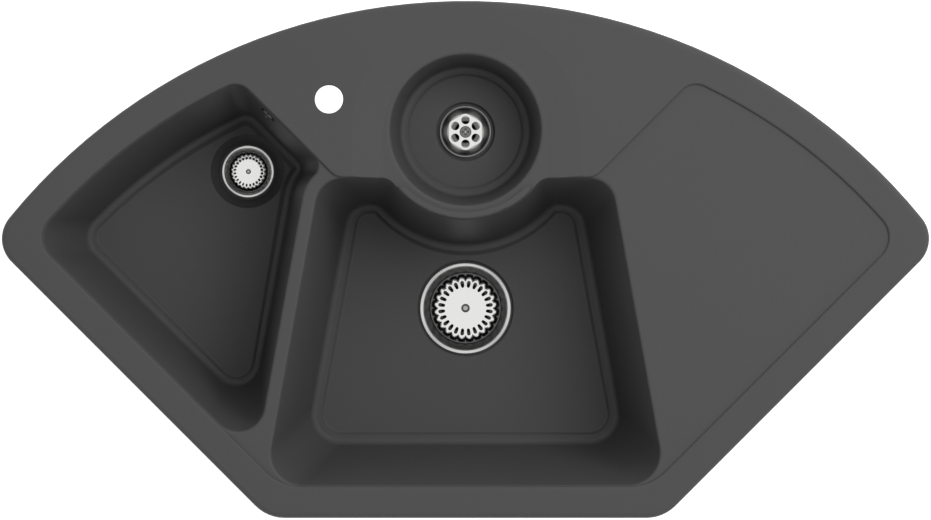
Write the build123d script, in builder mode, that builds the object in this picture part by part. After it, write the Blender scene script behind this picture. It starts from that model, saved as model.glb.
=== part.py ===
from build123d import *
from dataclasses import dataclass
from math import cos, hypot, radians, sqrt, tan
import os

# Corner kitchen sink, in millimetres.
# +X runs to the right along the front edge, +Y to the corner of the room, +Z up.
# The origin lies on the worktop, under the middle of the front rim.

# Outline of the rim: a straight front, two sides at 45 degrees and one wide arc behind
front_width = 459.4
overall_depth = 600.0
back_radius = 682.3
front_corner_radius = 48.0
side_corner_radius = 38.0

# Rim and its seal on the worktop
seal_thickness = 2.0
seal_width = 12.0
seat_inset = 14.0
rim_thickness = 9.0
rim_edge_radius = 7.0
border_width = 37.0
cutout_inset = 23.0
slab_drop = 5.0

# Sunk panel that holds the drainboard and the divider; setbacks are measured from the back edge
panel_drop = 4.0
panel_edge_radius = 3.0
bench_setback = 355.3
panel_front_radius = 60.0
panel_side_radius = 30.0
panel_top_radius = 22.0
bench_end_radius = 20.0
bowl_margin = 0.8
bowl_rim_radius = 4.0

# Main bowl; its front is wider on each side than the front of the rim
main_front_widening = 3.3
main_back_half = 169.1
main_back_setback = 205.8
main_depth = 190.0
main_front_draft = 12.9
main_side_draft = 10.5
main_back_draft = 8.3
main_front_corner = 38.0
main_back_corner = 31.0
main_lobe_corner = 20.0
main_bottom_radius = 8.0

# Left bowl, and the divider between it and the main bowl
divider_width = 16.1
divider_overlap = 18.0
left_depth = 165.0
left_draft = 10.4
left_bench_draft = 6.0
divider_draft = 6.2
left_side_corner = 30.0
left_top_corner = 20.0
left_front_corner = 31.0
left_end_corner = 15.0
left_bottom_radius = 6.5

# Round bowl, its collar in the main bowl and the apron round it
round_setback = 149.7
round_radius = 87.7
round_depth = 90.0
round_draft = 7.5
round_bottom_radius = 6.0
round_rim_radius = 4.0
collar_radius = 104.3
apron_radius = 132.0
apron_drop = 4.0
apron_lip = 8.0

# Walls, floors and drain bosses of the bowls
wall = 10.0
floor_thickness = 12.0
ledge_width = 4.5
narrow_ledge_width = 2.2
pocket_drop = 3.0
pocket_slope = 45.0
pocket_edge_radius = 2.5
floor_fall = 0.8
boss_rim = 6.0

# Places of the drains and of the tap hole; the left drain lies in the corner by the divider
main_drain_setback = 358.0
left_drain_gap = 89.9
left_drain_setback = 195.0
tap_x = -158.4
tap_setback = 114.3
tap_radius = 16.5
tap_edge_radius = 1.5

# Sheet, seals and clearances of the wastes
sheet = 1.2
gasket_thickness = 1.0
lower_gasket_thickness = 3.0
hole_clearance = 1.6
free_clearance = 0.2
lip_rise = 1.2
lip_bend = 1.0
mouth_bend = 1.4
rivet_edge = 1.0
plug_thickness = 3.0
plug_lap = 5.0
pin_radius = 3.0
spoke_width = 3.0
spoke_count = 3
screw_radius = 3.0
screw_head_height = 2.4
clamp_screw_head = 5.4
round_screw_head = 6.9
cross_slot_width = 1.2
cross_slot_margin = 2.4
hub_radius = 6.0
hub_drop = 4.0
hub_height = 12.0
plastic_wall = 3.0
body_lap = 4.0
body_flange = 4.0
body_cone = 8.0
sieve_thickness = 2.0
sieve_hole_radius = 5.0
sieve_hole_circle = 14.0
sieve_hole_count = 6
sieve_half_width = 19.4
sieve_corner_radius = 7.0

# Unions and pipes under the sink
pipe_radius = 20.0
pipe_wall = 1.8
socket_wall = 3.7
nut_wall = 4.4
nut_length = 20.0
nut_lip = 3.0
nut_lug_radius = 2.0
nut_lug_count = 12
seal_ring = 3.0
socket_length = 22.0
insertion = 15.0
pipe_bend = 46.0
manifold_half = 32.0
manifold_wall = 6.0
branch_reach = 82.0
branch_drop = 58.0
branch_neck = 1.0
pipe_fall = 0.03
outlet_length = 45.0

# Overflow in the wall of the left bowl, on the side of the bench
overflow_depth = 34.0
overflow_from_corner = 49.4
overflow_hole_radius = 8.0
rosette_radius = 10.4
rosette_height = 3.5
rosette_slot_count = 8
rosette_slot_width = 2.4
rosette_slot_length = 4.8
rosette_slot_depth = 1.75
overflow_screw_radius = 2.0
overflow_screw_head = 3.2
overflow_head_height = 1.0
overflow_bridge = 6.0
overflow_gasket_thickness = 2.0
overflow_flange_radius = 14.0
overflow_flange = 3.0
overflow_pipe_radius = 10.0
overflow_pipe_wall = 1.5
overflow_setback = 26.0
overflow_bend = 22.0
overflow_drop = 40.0
overflow_inlet_drop = 18.0
overflow_inlet_reach = 26.0

rim_top = seal_thickness + rim_thickness
panel_z = rim_top - panel_drop
apron_z = rim_top - apron_drop
front = -seat_inset
back = front + overall_depth
main_ledge_z = rim_top - main_depth
left_ledge_z = rim_top - left_depth
round_ledge_z = rim_top - round_depth
main_front = front + border_width + bowl_margin
main_back = back - main_back_setback
main_front_half = front_width / 2 + main_front_widening
main_centre = (0.0, back - main_drain_setback)
left_centre = (-main_back_half - left_drain_gap, back - left_drain_setback)
round_centre = (0.0, back - round_setback)
arc_centre_y = back - back_radius
root2 = sqrt(2)

os.makedirs("parts", exist_ok=True)


def write(builder, name):
    """Label a finished piece and write its file."""
    builder.part.label = name
    export_step(builder.part, f"parts/{name}.step")


def outline(inset):
    """Outline of the rim with sharp corners, moved inwards by inset."""
    with BuildSketch() as plan:
        with Locations((0, arc_centre_y)):
            Circle(back_radius)
        Polygon(
            (-front_width / 2, front),
            (front_width / 2, front),
            (front_width / 2 + overall_depth, back),
            (-front_width / 2 - overall_depth, back),
            align=None,
            mode=Mode.INTERSECT,
        )
        if inset:
            offset(amount=-inset, kind=Kind.INTERSECTION)
    return plan.sketch


def rounded_outline(inset):
    """Outline of the rim with its corners rounded, moved inwards by inset."""
    with BuildSketch() as plan:
        add(outline(inset))
        fillet(plan.vertices().group_by(Axis.Y)[0], front_corner_radius - inset)
        tips = plan.vertices().sort_by(Axis.X)
        fillet([tips[0], tips[-1]], side_corner_radius - inset)
    return plan.sketch


def trapezoid():
    """Rim line of the main bowl with sharp corners, before the collar cuts into it."""
    with BuildSketch() as plan:
        Polygon(
            (-main_front_half, main_front),
            (main_front_half, main_front),
            (main_back_half, main_back),
            (-main_back_half, main_back),
            align=None,
        )
    return plan.sketch


def main_plan(grow):
    """Rim line of the main bowl with sharp corners, moved outwards by grow."""
    with BuildSketch() as plan:
        add(trapezoid())
        if grow:
            offset(amount=grow, kind=Kind.INTERSECTION)
        with Locations(round_centre):
            Circle(collar_radius - grow, mode=Mode.SUBTRACT)
    return plan.sketch


def bench_sum(grow):
    """Value of y - |x| on the edge of the bench, moved backwards by grow."""
    return back - bench_setback + grow * root2


def left_plan(inset, bench_inset, divider_inset):
    """Rim line of the left bowl round the back corner of the main bowl, moved inwards."""
    reach = overall_depth
    bench = bench_sum(-bowl_margin - bench_inset)
    with BuildSketch() as plan:
        add(outline(border_width + bowl_margin + inset))
        Polygon(
            (-reach, bench + reach),
            (-reach, front),
            (0, front),
            (0, bench),
            align=None,
            mode=Mode.INTERSECT,
        )
        with BuildSketch(mode=Mode.SUBTRACT) as neighbour:
            add(trapezoid())
            fillet(neighbour.vertices().group_by(Axis.Y)[-1], main_back_corner)
            offset(amount=divider_width + divider_inset, kind=Kind.ARC)
    return plan.faces().sort_by(SortBy.AREA)[-1]


def left_shell_plan(grow):
    """Outer line of the left bowl's walls; along the divider it lies inside the main bowl's wall."""
    inset = border_width + bowl_margin - grow
    side = front - front_width / 2 + inset * root2
    bench = bench_sum(grow - bowl_margin)
    lean = (main_front_half - main_back_half) / (main_back - main_front)

    def on_divider(total):
        x = (divider_overlap - main_front_half + lean * (total - main_front)) / (1 + lean)
        return Vector(x, total - x)

    away = Vector(-overall_depth, overall_depth)
    with BuildSketch() as plan:
        with Locations((0, arc_centre_y)):
            Circle(back_radius - inset)
        Polygon(
            on_divider(side),
            on_divider(bench),
            on_divider(bench) + away,
            on_divider(side) + away,
            align=None,
            mode=Mode.INTERSECT,
        )
    return plan.sketch


def facing(x, y):
    """Test for a flat wall of a bowl that faces (x, y), seen from the bowl's middle."""
    way = Vector(x, y, 0).normalized()
    return lambda face: face.geom_type == GeomType.PLANE and face.normal_at().dot(way) > 0.995


def sideways(face):
    return face.geom_type == GeomType.PLANE and abs(face.normal_at().X) > 0.9


def curved(face):
    return face.geom_type == GeomType.CYLINDER


def wide_curve(face):
    return curved(face) and face.radius > overall_depth / 2


def tight_curve(face):
    return curved(face) and face.radius < overall_depth / 2


def bowl(plan, depth, drafts, corners, bottom_radius):
    """A bowl's form below the panel: drafted walls, rounded corners and a rounded bottom."""
    with BuildPart() as form:
        with BuildSketch(Plane.XY.offset(panel_z)):
            add(plan)
        extrude(amount=-depth)
        for pick, angle in drafts:
            draft(form.faces().filter_by(pick), Plane.XY.offset(panel_z), -angle)
        for pick, radius in corners:
            uprights = form.edges().filter_by(lambda edge: edge.bounding_box().size.Z > depth / 2)
            fillet(pick(uprights), radius)
        fillet(form.edges().group_by(Axis.Z)[0], bottom_radius)
    return form.part


def main_form(grow, depth):
    middle = (main_front + main_back) / 2

    def at_front(edge):
        return edge.center().Y < middle

    def at_back(edge):
        return edge.center().Y > middle and abs(edge.center().X) > collar_radius

    def at_collar(edge):
        return edge.center().Y > middle and abs(edge.center().X) < collar_radius

    return bowl(
        main_plan(grow),
        depth,
        [
            (facing(0, -1), main_front_draft),
            (sideways, main_side_draft),
            (facing(0, 1), main_back_draft),
            (curved, main_back_draft),
        ],
        [
            (lambda uprights: uprights.filter_by(at_front), main_front_corner + grow),
            (lambda uprights: uprights.filter_by(at_back), main_back_corner + grow),
            (lambda uprights: uprights.filter_by(at_collar), main_lobe_corner),
        ],
        main_bottom_radius + grow,
    )


def left_corners(grow):
    """The four upright corners of the left bowl, the furthest ones each way, with their radii."""
    return [
        (lambda uprights: uprights.sort_by(Axis.X)[0], left_side_corner + grow),
        (lambda uprights: uprights.sort_by(Axis.Y)[-1], left_top_corner + grow),
        (lambda uprights: uprights.sort_by(Axis.Y)[0], left_front_corner + grow),
        (lambda uprights: uprights.sort_by(Axis.X)[-1], left_end_corner + grow),
    ]


def left_form():
    return bowl(
        left_plan(0, 0, 0),
        panel_z - left_ledge_z,
        [
            (facing(-1, -1), left_draft),
            (facing(1, 1), left_bench_draft),
            (wide_curve, left_draft),
            (lambda face: tight_curve(face) or sideways(face), divider_draft),
        ],
        left_corners(0),
        left_bottom_radius,
    )


def left_shell():
    return bowl(
        left_shell_plan(wall),
        panel_z - left_ledge_z + floor_thickness,
        [
            (facing(-1, -1), left_draft),
            (facing(1, 1), left_bench_draft),
            (curved, left_draft),
            (sideways, divider_draft),
        ],
        left_corners(wall),
        left_bottom_radius + wall,
    )


def floor_inset(depth, angle, bottom_radius, ledge):
    """How far the sunk floor's edge lies inside the rim line: draft, rounded foot and ledge."""
    foot = bottom_radius * tan(radians(45 - angle / 2))
    return depth * tan(radians(angle)) + foot + ledge


def main_floor_plan():
    depth = panel_z - main_ledge_z
    front_inset = floor_inset(depth, main_front_draft, main_bottom_radius, ledge_width)
    side_inset = floor_inset(depth, main_side_draft, main_bottom_radius, ledge_width)
    back_inset = floor_inset(depth, main_back_draft, main_bottom_radius, narrow_ledge_width)
    lean = (main_front_half - main_back_half) / (main_back - main_front)
    near = main_front + front_inset
    far = main_back - back_inset
    half = main_front_half - side_inset * sqrt(1 + lean * lean)
    near_half = half - lean * front_inset
    far_half = half - lean * (far - main_front)
    shrink = main_bottom_radius + ledge_width
    with BuildSketch() as plan:
        Polygon((-near_half, near), (near_half, near), (far_half, far), (-far_half, far), align=None)
        with Locations(round_centre):
            Circle(collar_radius + back_inset, mode=Mode.SUBTRACT)
        fillet(plan.vertices().group_by(Axis.Y)[0], main_front_corner - shrink)
        back_corners = plan.vertices().group_by(Axis.Y)[-1].sort_by(Axis.X)
        fillet([back_corners[0], back_corners[-1]], main_back_corner - shrink)
    return plan.sketch


def left_floor_plan():
    depth = panel_z - left_ledge_z
    inset = floor_inset(depth, left_draft, left_bottom_radius, narrow_ledge_width)
    bench_inset = floor_inset(depth, left_bench_draft, left_bottom_radius, narrow_ledge_width)
    divider_inset = floor_inset(depth, divider_draft, left_bottom_radius, narrow_ledge_width)
    shrink = left_bottom_radius + narrow_ledge_width
    with BuildSketch() as plan:
        add(left_plan(inset, bench_inset, divider_inset))
        fillet(plan.vertices().sort_by(Axis.X)[0], left_side_corner - shrink)
        fillet(plan.vertices().sort_by(Axis.Y)[-1], left_top_corner - shrink)
        fillet(plan.vertices().sort_by(Axis.Y)[0], left_front_corner - shrink)
    return plan.sketch


def pocket(plan, centre, ledge_z):
    """The sunk floor inside the ledge of a bowl: a sloped step, and a fall to the drain."""
    reach = max(hypot(v.X - centre[0], v.Y - centre[1]) for v in plan.vertices())
    slope = tan(radians(floor_fall))
    low = ledge_z - pocket_drop - reach * slope
    with BuildPart() as floor:
        with BuildSketch(Plane.XY.offset(ledge_z)):
            add(plan)
        extrude(amount=low - ledge_z, taper=pocket_slope)
        with Locations((*centre, low)):
            Cone(
                0,
                (ledge_z + wall - low) / slope,
                ledge_z + wall - low,
                align=(Align.CENTER, Align.CENTER, Align.MIN),
                mode=Mode.INTERSECT,
            )
        step = floor.edges().filter_by(lambda edge: edge.bounding_box().max.Z < ledge_z - pocket_drop / 2)
        fillet(step, pocket_edge_radius)
    return floor.part


def upright(centre, height):
    """Plane of a turned piece's section: x is its radius and y its height."""
    return Plane(origin=(*centre, height), x_dir=(1, 0, 0), z_dir=(0, -1, 0))


def axis_at(centre):
    return Axis((*centre, 0), (0, 0, 1))


@dataclass
class Waste:
    """One drain. Its heights are measured down from the seat of the lip in the bowl's floor."""

    centre: tuple
    floor: float
    recess_radius: float
    recess_depth: float
    seat_radius: float
    lip: float
    mouth: float
    neck: float
    dish_depth: float
    cup_depth: float
    opening: float
    boss_depth: float
    body_depth: float
    dish_bend: float
    cup_bend: float

    @property
    def seat(self):
        return self.floor - self.recess_depth

    @property
    def hole(self):
        return self.neck + sheet + hole_clearance

    @property
    def plate_top(self):
        return self.seat - self.cup_depth

    @property
    def boss_z(self):
        return self.seat - self.boss_depth

    @property
    def body_top(self):
        return self.boss_z - lower_gasket_thickness

    @property
    def socket_top(self):
        return self.seat - self.body_depth

    @property
    def outlet_z(self):
        return self.socket_top - socket_length


main_bowl = main_form(0, panel_z - main_ledge_z)
left_bowl = left_form()
main_floor = pocket(main_floor_plan(), main_centre, main_ledge_z)
left_floor = pocket(left_floor_plan(), left_centre, left_ledge_z)
round_floor_z = round_ledge_z - pocket_drop

main_waste = Waste(
    centre=main_centre,
    floor=main_floor.bounding_box().min.Z,
    recess_radius=57.5,
    recess_depth=2.5,
    seat_radius=56.0,
    lip=54.6,
    mouth=50.0,
    neck=42.9,
    dish_depth=11.0,
    cup_depth=34.0,
    opening=24.0,
    boss_depth=18.0,
    body_depth=56.0,
    dish_bend=2.5,
    cup_bend=2.5,
)
left_waste = Waste(
    centre=left_centre,
    floor=left_floor.bounding_box().min.Z,
    recess_radius=43.9,
    recess_depth=18.0,
    seat_radius=33.5,
    lip=31.5,
    mouth=27.6,
    neck=24.6,
    dish_depth=6.0,
    cup_depth=26.0,
    opening=12.5,
    boss_depth=14.0,
    body_depth=64.0,
    dish_bend=2.5,
    cup_bend=2.5,
)
round_waste = Waste(
    centre=round_centre,
    floor=round_floor_z,
    recess_radius=35.0,
    recess_depth=4.0,
    seat_radius=32.5,
    lip=30.5,
    mouth=27.0,
    neck=21.7,
    dish_depth=9.0,
    cup_depth=14.0,
    opening=17.5,
    boss_depth=14.0,
    body_depth=40.0,
    dish_bend=2.0,
    cup_bend=0.4,
)
wastes = {"main": main_waste, "left": left_waste, "round": round_waste}

# Overflow: the plane lies on the bowl's wall and looks into the bowl
overflow_fall = panel_z - (rim_top - overflow_depth)
bench_offset = bench_sum(-bowl_margin) / root2
arc_offset = bench_offset - arc_centre_y / root2
left_arc_radius = back_radius - border_width - bowl_margin
top_corner_along = arc_centre_y / root2 + sqrt(left_arc_radius**2 - arc_offset**2)
overflow_along = top_corner_along - overflow_from_corner
overflow_offset = bench_offset - overflow_fall * tan(radians(left_bench_draft))
overflow_point = (
    (overflow_offset - overflow_along) / root2,
    (overflow_offset + overflow_along) / root2,
    rim_top - overflow_depth,
)
overflow_out = Vector(1, 1, -root2 * tan(radians(left_bench_draft))).normalized()
overflow_plane = Plane(origin=overflow_point, x_dir=(1, -1, 0), z_dir=-overflow_out)
elbow_top = -wall * cos(radians(left_bench_draft)) - overflow_gasket_thickness
elbow_start = overflow_plane.offset(elbow_top).origin
elbow_corner = elbow_start + overflow_out * overflow_setback
elbow_end = elbow_corner - Vector(0, 0, overflow_drop)
pipe_fit = overflow_pipe_radius + free_clearance

# The overflow pipe drops beside the left bowl and enters the side of its waste body
inlet_z = left_waste.body_top - body_flange - overflow_inlet_drop
inlet_axis = Vector(*left_centre, inlet_z)
pipe_turn = Vector(elbow_end.X, elbow_end.Y, inlet_z)
inlet = Plane(origin=inlet_axis, z_dir=(pipe_turn - inlet_axis).normalized())
inlet_reach = left_waste.hole + plastic_wall + overflow_inlet_reach
pipe_top = elbow_end + Vector(0, 0, insertion - free_clearance)
pipe_end = inlet_axis + inlet.z_dir * (inlet_reach - insertion)


def panel_plan():
    """The sunk panel: everything inside the border up to the bench, with the main bowl's back."""
    reach = overall_depth
    middle = (main_front + main_back) / 2
    bench = bench_sum(0)
    with BuildSketch() as plan:
        add(outline(border_width))
        fillet(plan.vertices().group_by(Axis.Y)[0], panel_front_radius)
        tips = plan.vertices().sort_by(Axis.X)
        fillet([tips[0], tips[-1]], panel_side_radius)
        Polygon(
            (-reach, bench + reach),
            (-reach, front),
            (reach, front),
            (reach, bench + reach),
            (0, bench),
            align=None,
            mode=Mode.INTERSECT,
        )
        with Locations(round_centre):
            Circle(collar_radius - bowl_margin, mode=Mode.SUBTRACT)
        with BuildSketch(mode=Mode.PRIVATE) as back:
            add(main_plan(bowl_margin))
            with Locations((0, middle)):
                Rectangle(reach * 2, reach, align=(Align.CENTER, Align.MIN), mode=Mode.INTERSECT)
        add(back.sketch)
    return plan.sketch


def apron():
    """The shallow funnel round the round bowl's rim, with straight sides to the main bowl."""
    foot = round_radius + apron_lip
    fall = (apron_radius - foot) / apron_drop
    with BuildPart() as funnel:
        for radius, height in ((foot, apron_z), (apron_radius + wall * fall, rim_top + wall)):
            with BuildSketch(Plane.XY.offset(height)):
                with Locations(round_centre):
                    Circle(radius)
                    Rectangle(radius * 2, overall_depth / 2, align=(Align.CENTER, Align.MAX))
        loft(ruled=True)
        with Locations((0, main_back - wall, apron_z)):
            Box(
                overall_depth * 2,
                overall_depth,
                overall_depth,
                align=(Align.CENTER, Align.MIN, Align.MIN),
                mode=Mode.INTERSECT,
            )
    return funnel.part


with BuildPart() as border:
    with BuildSketch(Plane.XY.offset(seal_thickness)):
        add(rounded_outline(0))
    extrude(amount=rim_thickness)
    fillet(border.faces().sort_by(Axis.Z)[-1].edges(), rim_edge_radius)
    with BuildSketch(Plane.XY.offset(seal_thickness)) as opening:
        add(panel_plan())
        fillet(opening.vertices().group_by(Axis.Y)[-1], panel_top_radius)
        ends = opening.vertices().filter_by(lambda v: abs(v.Y - (main_back + bowl_margin)) < bowl_margin)
        fillet(ends.filter_by(lambda v: abs(v.X) > collar_radius), bench_end_radius)
        ends = opening.vertices().filter_by(lambda v: abs(v.Y - (main_back + bowl_margin)) < bowl_margin)
        fillet(ends.sort_by(lambda v: abs(v.X))[0:2], main_lobe_corner + bowl_margin)
    extrude(amount=rim_thickness, mode=Mode.SUBTRACT)
    fillet(border.faces().sort_by(Axis.Z)[-1].inner_wires()[0].edges(), panel_edge_radius)
    add(apron(), mode=Mode.SUBTRACT)


def drain_tool(waste):
    """What the drain takes out of a bowl's floor: recess, cone for the dish, and hole."""
    hole = waste.hole
    mouth = waste.mouth + hole_clearance
    with BuildPart() as tool:
        with BuildSketch(upright(waste.centre, waste.seat)):
            Polygon(
                (0, waste.recess_depth + wall),
                (waste.recess_radius, waste.recess_depth + wall),
                (waste.recess_radius, waste.recess_depth),
                (waste.seat_radius, 0),
                (mouth, 0),
                (hole, -waste.dish_depth),
                (hole, -waste.boss_depth - wall),
                (0, -waste.boss_depth - wall),
                align=None,
            )
        revolve(axis=axis_at(waste.centre))
    return tool.part


def round_tool():
    """The round bowl from above its rim to its floor."""
    height = apron_z - round_ledge_z
    foot = round_radius - height * tan(radians(round_draft))
    floor = foot - round_bottom_radius - narrow_ledge_width
    with BuildPart() as tool:
        with BuildSketch(upright(round_centre, round_ledge_z)) as section:
            Polygon(
                (0, height + wall),
                (round_radius + apron_lip, height + wall),
                (round_radius + apron_lip, height),
                (round_radius, height),
                (foot, 0),
                (floor, 0),
                (floor - pocket_drop, -pocket_drop),
                (0, -pocket_drop),
                align=None,
            )
            fillet(section.vertices().sort_by_distance((foot, 0))[0], round_bottom_radius)
            fillet(section.vertices().sort_by_distance((round_radius, height))[0], round_rim_radius)
        revolve(axis=axis_at(round_centre))
    return tool.part


with BuildPart() as sink_body:
    with BuildSketch(Plane.XY.offset(panel_z)):
        add(rounded_outline(cutout_inset))
    extrude(amount=-panel_z - slab_drop)
    add(main_form(wall, panel_z - main_ledge_z + floor_thickness))
    add(left_shell())
    with Locations((*round_centre, panel_z)):
        depth = panel_z - round_ledge_z + floor_thickness
        Cylinder(round_radius + wall, depth, align=(Align.CENTER, Align.CENTER, Align.MAX))
    for waste in wastes.values():
        with Locations((*waste.centre, waste.boss_z)):
            Cylinder(
                waste.recess_radius + boss_rim,
                waste.floor - waste.boss_z,
                align=(Align.CENTER, Align.CENTER, Align.MIN),
            )
    add(main_bowl, mode=Mode.SUBTRACT)
    add(left_bowl, mode=Mode.SUBTRACT)
    rims = ShapeList(e for w in sink_body.faces().sort_by(Axis.Z)[-1].inner_wires() for e in w.edges())
    fillet(rims, bowl_rim_radius)
    add(border.part)
    add(round_tool(), mode=Mode.SUBTRACT)
    add(main_floor, mode=Mode.SUBTRACT)
    add(left_floor, mode=Mode.SUBTRACT)
    for waste in wastes.values():
        add(drain_tool(waste), mode=Mode.SUBTRACT)
    with Locations((tap_x, back - tap_setback, rim_top)):
        Hole(tap_radius)
    with BuildSketch(overflow_plane.offset(wall)):
        Circle(overflow_hole_radius)
    extrude(amount=-wall * 3, mode=Mode.SUBTRACT)
    circles = sink_body.edges().filter_by(GeomType.CIRCLE)
    tap_edges = circles.filter_by(lambda edge: abs(edge.radius - tap_radius) < tap_radius * 1e-6)
    fillet(tap_edges.sort_by(Axis.Z)[-1], tap_edge_radius)
write(sink_body, "sink_body")

with BuildPart() as rim_seal:
    with BuildSketch():
        add(rounded_outline(seat_inset - seal_width / 2))
        add(rounded_outline(seat_inset + seal_width / 2), mode=Mode.SUBTRACT)
    extrude(amount=seal_thickness)
write(rim_seal, "rim_seal")


def ring(centre, bottom, height, inner, outer):
    """A flat ring about a drain's axis."""
    with BuildPart() as piece:
        with BuildSketch(Plane.XY.offset(bottom)):
            with Locations(centre):
                Circle(outer)
                Circle(inner, mode=Mode.SUBTRACT)
        extrude(amount=height)
    return piece


def skin_section(radii, *points):
    """Section of pressed sheet: its seen side follows the points inwards, the metal lies beneath."""
    with BuildSketch(mode=Mode.PRIVATE) as strip:
        with BuildLine():
            skin = FilletPolyline(*points, radius=radii)
            offset(skin, amount=sheet, side=Side.LEFT)
        make_face()
    return strip.sketch


def pressed(centre, height, radii, *points):
    """Sheet pressed to a round form about a drain's axis."""
    with BuildPart() as piece:
        with BuildSketch(upright(centre, height)):
            add(skin_section(radii, *points))
        revolve(axis=axis_at(centre))
    return piece


def cup(waste):
    """The pressed steel of a flange: rolled lip, dish, wall and the rim of its bottom."""
    edge = gasket_thickness + sheet
    return pressed(
        waste.centre,
        waste.seat,
        [lip_bend, mouth_bend, waste.dish_bend, waste.cup_bend],
        (waste.lip, edge),
        (waste.lip - 2 * lip_rise, edge + lip_rise),
        (waste.mouth, edge + lip_rise),
        (waste.neck, -waste.dish_depth),
        (waste.neck, -waste.cup_depth),
        (waste.opening, -waste.cup_depth),
    )


def spoked_flange(waste):
    """A flange whose bottom has spokes to the hub of its clamping screw."""
    with BuildPart() as piece:
        add(cup(waste).part)
        with BuildSketch(Plane.XY.offset(waste.plate_top - sheet)):
            with Locations(waste.centre):
                Circle(hub_radius)
                with PolarLocations(0, spoke_count):
                    Rectangle(waste.opening + sheet, spoke_width, align=(Align.MIN, Align.CENTER))
                Circle(screw_radius + free_clearance, mode=Mode.SUBTRACT)
        extrude(amount=sheet)
    return piece


def waste_body(waste, inlets=()):
    """The plastic cup under a bowl: rim on the lower gasket, wall, cone, threaded tail and ribs."""
    inner = waste.hole
    outer = inner + plastic_wall
    bore = pipe_radius - pipe_wall
    socket = pipe_radius + free_clearance
    tail = socket + socket_wall
    stop = waste.outlet_z + insertion + free_clearance
    rim = waste.lip + body_lap
    hub_top = waste.plate_top - sheet - hub_drop
    with BuildPart() as piece:
        with BuildSketch(upright(waste.centre, 0)):
            Polygon(
                (inner, waste.body_top),
                (rim, waste.body_top),
                (rim, waste.body_top - body_flange),
                (outer, waste.body_top - body_flange),
                (outer, waste.socket_top + body_cone),
                (tail, waste.socket_top),
                (tail, waste.outlet_z),
                (socket, waste.outlet_z),
                (socket, stop),
                (bore, stop),
                (bore, waste.socket_top + plastic_wall),
                (inner, waste.socket_top + plastic_wall + body_cone),
                align=None,
            )
        revolve(axis=axis_at(waste.centre))
        for side in inlets:
            with BuildSketch(side.offset(inner + plastic_wall / 2)):
                Circle(pipe_fit + plastic_wall)
            extrude(amount=overflow_inlet_reach + plastic_wall / 2)
            with BuildSketch(side.offset(inlet_reach - insertion - free_clearance)):
                Circle(pipe_fit)
            extrude(amount=insertion + wall, mode=Mode.SUBTRACT)
            with BuildSketch(side):
                Circle(overflow_pipe_radius - overflow_pipe_wall)
            extrude(amount=inlet_reach, mode=Mode.SUBTRACT)
        with BuildSketch(Plane.XY.offset(hub_top)):
            with Locations(waste.centre):
                Circle(hub_radius)
                with PolarLocations(0, spoke_count):
                    Rectangle(inner + plastic_wall / 2, plastic_wall, align=(Align.MIN, Align.CENTER))
        extrude(amount=-hub_height)
        with BuildSketch(Plane.XY.offset(hub_top)):
            with Locations(waste.centre):
                Circle(screw_radius + free_clearance)
        extrude(amount=-hub_height, mode=Mode.SUBTRACT)
    return piece


def screw(centre, top, head, length):
    """A pan-head screw with a cross slot; top is the upper side of its head."""
    slot = 2 * (head - cross_slot_margin)
    with BuildPart() as piece:
        with BuildSketch(upright(centre, top)) as section:
            Polygon(
                (0, 0),
                (head, 0),
                (head, -screw_head_height),
                (screw_radius, -screw_head_height),
                (screw_radius, -length),
                (0, -length),
                align=None,
            )
            fillet(section.vertices().sort_by_distance((head, 0))[0], cross_slot_width)
        revolve(axis=axis_at(centre))
        with BuildSketch(Plane.XY.offset(top)):
            with Locations(centre):
                Rectangle(slot, cross_slot_width)
                Rectangle(cross_slot_width, slot)
        extrude(amount=-cross_slot_width, mode=Mode.SUBTRACT)
    return piece


for name, waste in wastes.items():
    rim = waste.lip + body_lap
    write(
        ring(waste.centre, waste.seat, gasket_thickness, waste.mouth + hole_clearance, waste.lip),
        f"{name}_upper_gasket",
    )
    write(
        ring(waste.centre, waste.body_top, lower_gasket_thickness, waste.hole, rim),
        f"{name}_lower_gasket",
    )
    inlets = [inlet] if waste is left_waste else []
    write(waste_body(waste, inlets), f"{name}_waste_body")

for name in ("main", "left"):
    waste = wastes[name]
    write(spoked_flange(waste), f"{name}_flange")
    reach = screw_head_height + sheet + hub_drop + hub_height
    write(
        screw(waste.centre, waste.plate_top + screw_head_height, clamp_screw_head, reach),
        f"{name}_clamp_screw",
    )


@dataclass
class Basket:
    """A slotted cap that stands in a waste's cup; depths are measured from the waste's seat."""

    waste: Waste
    disc: float
    slot_end: float
    shoulder: float
    rim: float
    top_depth: float
    shoulder_depth: float
    rim_depth: float
    shoulder_radius: float
    slot_width: float
    slot_count: int
    head: float

    @property
    def top(self):
        return self.waste.seat - self.top_depth

    @property
    def plug_bottom(self):
        return self.waste.plate_top + screw_head_height + free_clearance


baskets = {
    "main": Basket(
        waste=main_waste,
        disc=24.4,
        slot_end=31.6,
        shoulder=33.5,
        rim=38.7,
        top_depth=13.0,
        shoulder_depth=15.0,
        rim_depth=24.0,
        shoulder_radius=5.0,
        slot_width=3.4,
        slot_count=24,
        head=5.1,
    ),
    "left": Basket(
        waste=left_waste,
        disc=14.7,
        slot_end=18.0,
        shoulder=19.5,
        rim=22.4,
        top_depth=8.0,
        shoulder_depth=9.5,
        rim_depth=16.0,
        shoulder_radius=3.0,
        slot_width=1.9,
        slot_count=24,
        head=3.0,
    ),
}


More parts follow.
